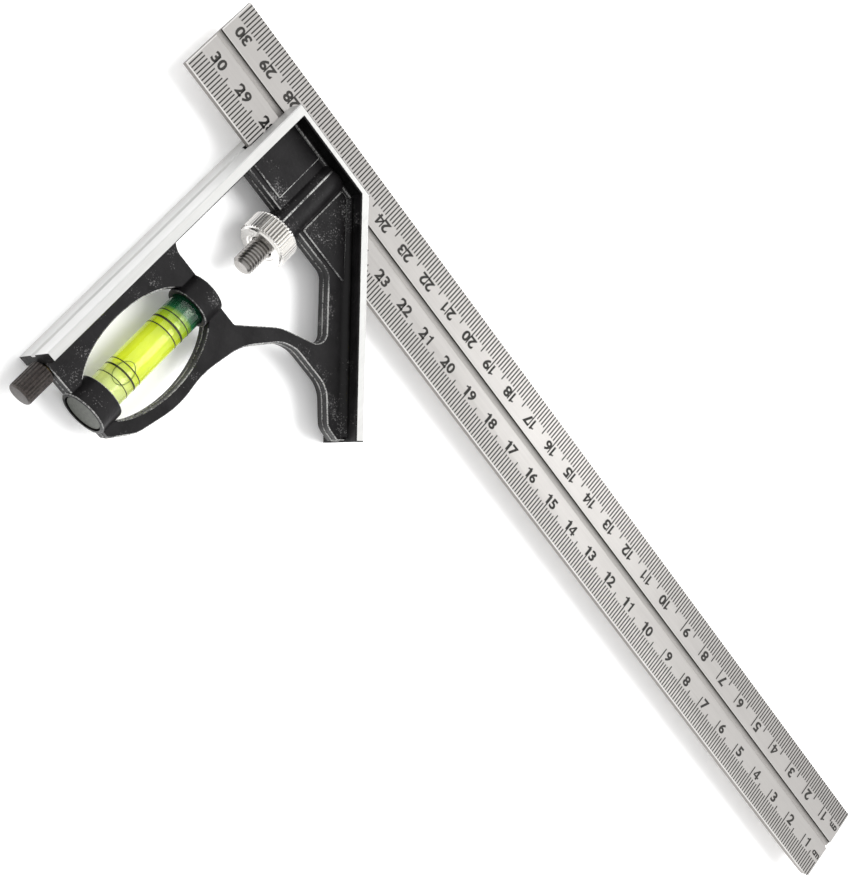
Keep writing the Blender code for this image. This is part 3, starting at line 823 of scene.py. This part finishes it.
def helix(crest, root, pitch, low, turns, segments, u):
    """A screw thread as one closed shape, spun along its axis as it turns."""
    bm = bmesh.new()
    points = [(0, low)]
    for k in range(turns):
        v = low + k * pitch
        points += [(root, v), (root, v + 0.12 * pitch), (crest, v + 0.45 * pitch), (crest, v + 0.62 * pitch)]
    points += [(root, low + turns * pitch), (0, low + turns * pitch)]
    verts = [bm.verts.new((radius, v, 0)) for radius, v in points]
    edges = [bm.edges.new(pair) for pair in zip(verts, verts[1:])]
    bmesh.ops.spin(
        bm, geom=verts + edges, axis=(0, 1, 0), cent=(0, 0, 0), dvec=(0, pitch / segments, 0),
        angle=math.tau, steps=segments, use_merge=False,
    )
    bmesh.ops.remove_doubles(bm, verts=bm.verts, dist=1e-4)
    bmesh.ops.holes_fill(bm, edges=[e for e in bm.edges if e.is_boundary], sides=0)
    bmesh.ops.recalc_face_normals(bm, faces=bm.faces)
    bmesh.ops.translate(bm, verts=bm.verts, vec=(u, 0, 0))
    return bm


def build_bolt():
    radius = (BOLT[1].x - BOLT[0].x) / 2
    tip, end = BOLT[0].y, BOLT[1].y
    thread = helix(radius + 0.08, radius - 0.5, 1.0, tip - 2, 17, 40, BOLT_U)
    envelope = turned([(0, tip), (radius - 0.75, tip), (radius, tip + 0.75), (radius, -9.4), (0, -9.4)], 48, BOLT_U)
    threaded = combine(thread, ("INTERSECT", envelope))
    shank = turned([(0, -9.8), (radius, -9.8), (radius, end - 0.3), (radius - 0.3, end), (0, end)], 48, BOLT_U)
    lap = 1.3
    below = box((BOLT_U - 6, RULE[0].y - 1.05, -6), (BOLT_U + 6, end + 1, lap))
    nib = box((BOLT_U - 1.5, 10.75, 0.5), (BOLT_U + 1.5, 11.75, lap + 0.4))
    bm = combine(threaded, ("UNION", combine(shank, ("DIFFERENCE", below), ("UNION", nib))))
    return piece("threaded_clamp_bolt", bm, "bolt", [ZINC], ["clamp_bolt"])


build_nut()
build_bolt()


# Vial

RINGS = ((-46.9, 0.34), (-49.2, 0.62), (-51.5, 0.34), (-64.6, 0.3), (-66.5, 0.52), (-69.2, 0.26))


def hoop(points, radius):
    """A thin round line through a closed ring of points."""
    bm = bmesh.new()
    rings = []
    for i, point in enumerate(points):
        along = (points[(i + 1) % len(points)] - points[i - 1]).normalized()
        side = along.orthogonal().normalized() if not rings else (side - along * side.dot(along)).normalized()
        up = along.cross(side)
        turns = [math.tau * k / 6 for k in range(6)]
        rings.append([bm.verts.new(point + (side * math.cos(a) + up * math.sin(a)) * radius) for a in turns])
    for low, high in zip(rings, rings[1:] + rings[:1]):
        for k in range(6):
            bm.faces.new((low[k - 1], low[k], high[k], high[k - 1]))
    bmesh.ops.recalc_face_normals(bm, faces=bm.faces)
    return bm


def bubble_edge(reach):
    """The edge of the air bubble, on the wall of the vial's bore."""
    points = []
    for k in range(48):
        turn = math.tau * k / 48
        angle = -0.25 + 0.6 * math.cos(turn)
        u, w = VIAL_U + reach * math.sin(angle), reach * math.cos(angle)
        points.append(Vector((u, -66.4 + 3.4 * math.sin(turn), w)))
    return points


def build_vial():
    radius = (VIAL[1].x - VIAL[0].x) / 2
    top, foot = VIAL[1].y, VIAL[0].y
    bore = (LIQUID[1].x - LIQUID[0].x) / 2
    tube = [(0, top), *arc(radius - 0.5, top - 0.5, 0.5, 90, 0), (radius, foot), (bore, foot),
            *arc(bore - 1.2, top - 3.2, 1.2, 0, 90), (0, top - 2.0)]
    piece("vial_tube_clear", turned(tube, 72, VIAL_U), "head", [TUBE], ["vial_tube"])
    low, high = LIQUID[0].y, LIQUID[1].y
    liquid = round_rod(bore + 0.02, low, high, 1.1, 64, VIAL_U)
    bubble = round_rod(2.3, -75.0, -63.2, 2.25, 40, VIAL_U - 0.4)
    bmesh.ops.translate(bubble, verts=bubble.verts, vec=(0, 0, 1.2))
    spirit = combine(liquid, ("DIFFERENCE", bubble))
    piece("vial_spirit", spirit, "head", [SPIRIT], ["vial_liquid"])
    rings = bmesh.new()
    for v, width in RINGS:
        band = turned([(radius - 0.01, v - width / 2), (radius + 0.03, v - width / 2),
                       (radius + 0.03, v + width / 2), (radius - 0.01, v + width / 2)], 72, VIAL_U)
        mesh = bpy.data.meshes.new("temporary")
        band.to_mesh(mesh)
        band.free()
        rings.from_mesh(mesh)
        bpy.data.meshes.remove(mesh)
    piece("vial_reading_rings", rings, "head", [RING_INK])
    # An olive hoop at the bubble's edge, as painted shade.
    piece("bubble_edge", hoop(bubble_edge(bore + 0.25), 0.11), "head", [BUBBLE_EDGE_SHADE])
    cap = round_rod((CAP[1].x - CAP[0].x) / 2, CAP[0].y, CAP[1].y, 0.25, 56, VIAL_U)
    piece("vial_end_cap", cap, "head", [DARK_CAP], ["vial_cap"])


build_vial()


# Scriber


def build_scriber_handle():
    near, end = HANDLE[1].y, HANDLE[0].y
    rim = (HANDLE[1].x - HANDLE[0].x) / 2
    profile = [(0, end), (rim - 1.1, end), *arc(rim - 0.7, end + 0.7, 0.7, -60, 0, 3), (rim, near - 0.3),
               (rim - 0.3, near), (1.2, near), (1.2, HANDLE[0].y + 3.2), (0, HANDLE[0].y + 3.2)]
    bm = knurled(profile, 22, rim, 0.3, HANDLE_U)
    piece("fluted_scriber_handle", bm, "scriber", [BLACKENED], ["scriber_handle"], sharp=25)


build_scriber_handle()

for node_name, finish in (
    ("clamp_spring", SPRING_STEEL),
    ("scriber_needle", TOOL_STEEL),
    ("scriber_sleeve", BRASS),
    ("vial_plug", PLUG),
):
    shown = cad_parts[node_name].data
    shown.materials.clear()
    shown.materials.append(finish)


# Studio


def build_floor():
    bm = bmesh.new()
    level = Matrix.Translation((0.0, 0.0, cad_box[0].z - 0.0002))
    bmesh.ops.create_grid(bm, x_segments=1, y_segments=1, size=3.0, matrix=level)
    mesh = bpy.data.meshes.new("studio_floor")
    bm.to_mesh(mesh)
    bm.free()
    made, tree, shader = new_material("matt_white_sweep", Roughness=0.9, Base_Color=colour("#FAFAFA"),
                                      Emission_Color=colour("#FFFFFF"), Emission_Strength=0.12)
    mesh.materials.append(made)
    floor = bpy.data.objects.new("studio_floor", mesh)
    bpy.context.collection.objects.link(floor)


def area_light(name, place, target, size, power, glossy):
    data = bpy.data.lights.new(name, "AREA")
    data.shape = "DISK"
    data.size = size
    data.energy = power
    light = bpy.data.objects.new(name, data)
    light.location = place
    light.rotation_euler = (Vector(target) - Vector(place)).to_track_quat("-Z", "Y").to_euler()
    light.visible_glossy = glossy
    bpy.context.collection.objects.link(light)


def build_studio():
    build_floor()
    scene = bpy.context.scene
    scene.view_settings.view_transform = "Standard"
    world = bpy.data.worlds.new("white_room")
    world.use_nodes = True
    world.node_tree.nodes["Background"].inputs["Color"].default_value = (1.0, 1.0, 1.0, 1.0)
    world.node_tree.nodes["Background"].inputs["Strength"].default_value = 1.0
    scene.world = world
    area_light("key_softbox", (0.45, 0.75, 1.4), (0.0, 0.0, 0.0), 1.5, 45.0, False)
    area_light("sheen_softbox", (0.35, 0.75, 0.55), (0.0, 0.0, 0.0), 0.55, 2.2, True)


def build_camera():
    data = bpy.data.cameras.new("camera")
    data.lens = 83.07
    data.sensor_width = 36.0
    data.clip_start = 0.01
    camera = bpy.data.objects.new("camera", data)
    right = Vector((0.56684, 0.59709, 0.5676))
    up = Vector((-0.73247, 0.68062, 0.01551))
    back = right.cross(up).normalized()
    up = back.cross(right).normalized()
    right = up.cross(back)
    turn = Matrix((right, up, back)).transposed().to_4x4()
    camera.matrix_world = Matrix.Translation((-0.23813, -0.20554, 0.44626)) @ turn
    bpy.context.collection.objects.link(camera)
    bpy.context.scene.camera = camera


build_studio()
build_camera()
